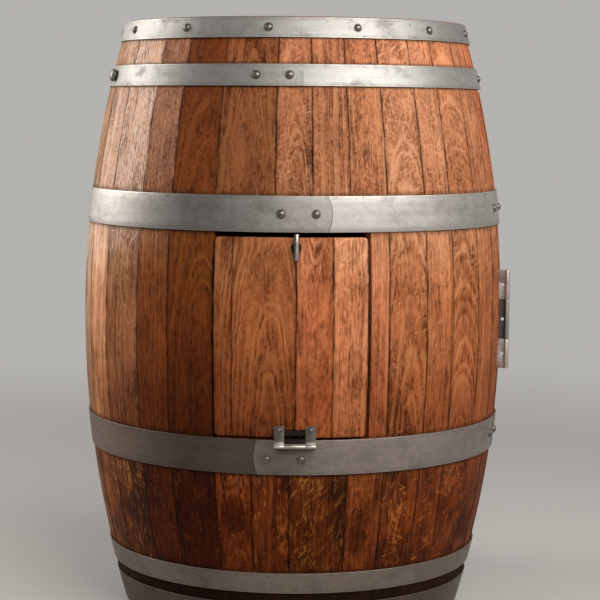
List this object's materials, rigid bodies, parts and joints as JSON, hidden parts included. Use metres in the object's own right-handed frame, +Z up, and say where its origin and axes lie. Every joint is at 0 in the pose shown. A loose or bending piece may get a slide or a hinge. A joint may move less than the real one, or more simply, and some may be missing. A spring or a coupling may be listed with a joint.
{
  "type": "barrel bar cabinet",
  "caption": "Standing oak wine barrel made into a bar cabinet, with steel hoops, a drop-down front hatch on a flush hinge and a hinged side door.",
  "frame": {"origin": "middle of the floor circle that the staves' lower ends stand on", "axes": "+Z up along the barrel's axis, the front hatch faces -Y, +X to the right as seen from the front"},
  "size_m": [0.6955, 0.7004, 0.95],
  "materials": {
    "stave_oak": "stained oak, satin",
    "door_oak": "stained oak, satin",
    "inner_oak": "oak, matt",
    "hoop_steel": "galvanised, dull",
    "fastener_steel": "zinc plated",
    "hinge_steel": "bright zinc",
    "pull_steel": "satin",
    "catch_plastic": "black"
  },
  "bodies": {
    "barrel": {"bottom_chime_hoop": "hoop_steel", "bottom_head": "inner_oak", "bottom_quarter_hoop": "hoop_steel", "frame_hinge_screws": "fastener_steel", "front_hinge_frame_leaf": "hinge_steel", "front_hinge_pin": "hinge_steel", "front_lower_staves": "stave_oak", "front_upper_staves": "stave_oak", "hoop_rivets": "fastener_steel", "hoop_screws": "fastener_steel", "lower_bilge_hoop": "hoop_steel", "shelf": "inner_oak", "shelf_cleats": "inner_oak", "side_catch": "catch_plastic", "side_hinge_frame_leaf": "hinge_steel", "side_hinge_pin": "hinge_steel", "side_lower_staves": "stave_oak", "side_upper_staves": "stave_oak", "stave_01": "stave_oak", "stave_02": "stave_oak", "stave_03": "stave_oak", "stave_04": "stave_oak", "stave_05": "stave_oak", "stave_06": "stave_oak", "stave_07": "stave_oak", "stave_08": "stave_oak", "stave_09": "stave_oak", "stave_10": "stave_oak", "stave_11": "stave_oak", "stave_12": "stave_oak", "stave_13": "stave_oak", "stave_14": "stave_oak", "stave_15": "stave_oak", "stave_16": "stave_oak", "stave_17": "stave_oak", "stave_18": "stave_oak", "stave_19": "stave_oak", "top_chime_hoop": "hoop_steel", "top_head": "inner_oak", "top_quarter_hoop": "hoop_steel", "upper_bilge_hoop": "hoop_steel"},
    "front_door": {"front_door_battens": "inner_oak", "front_door_board_1": "door_oak", "front_door_board_2": "door_oak", "front_door_board_3": "door_oak", "front_door_screws": "fastener_steel", "front_hinge_door_leaf": "hinge_steel", "front_pull": "pull_steel"},
    "side_door": {"side_door_battens": "inner_oak", "side_door_board_1": "door_oak", "side_door_board_2": "door_oak", "side_door_board_3": "door_oak", "side_door_board_4": "door_oak", "side_door_bolts": "fastener_steel", "side_door_lower_hoop": "hoop_steel", "side_door_screws": "fastener_steel", "side_door_upper_hoop": "hoop_steel", "side_hinge_door_leaf": "hinge_steel", "side_strike_plate": "hinge_steel"}
  },
  "joints": [
    {"name": "front_hatch_hinge", "type": "hinge", "parent": "barrel", "child": "front_door", "pos_m": [0.004, -0.34361, 0.3077], "axis": [1, 0, 0], "range_deg": [0, 150]},
    {"name": "side_door_hinge", "type": "hinge", "parent": "barrel", "child": "side_door", "pos_m": [0.3464, -0.08637, 0.475], "axis": [0, 0, -1], "range_deg": [0, 120]}
  ]
}
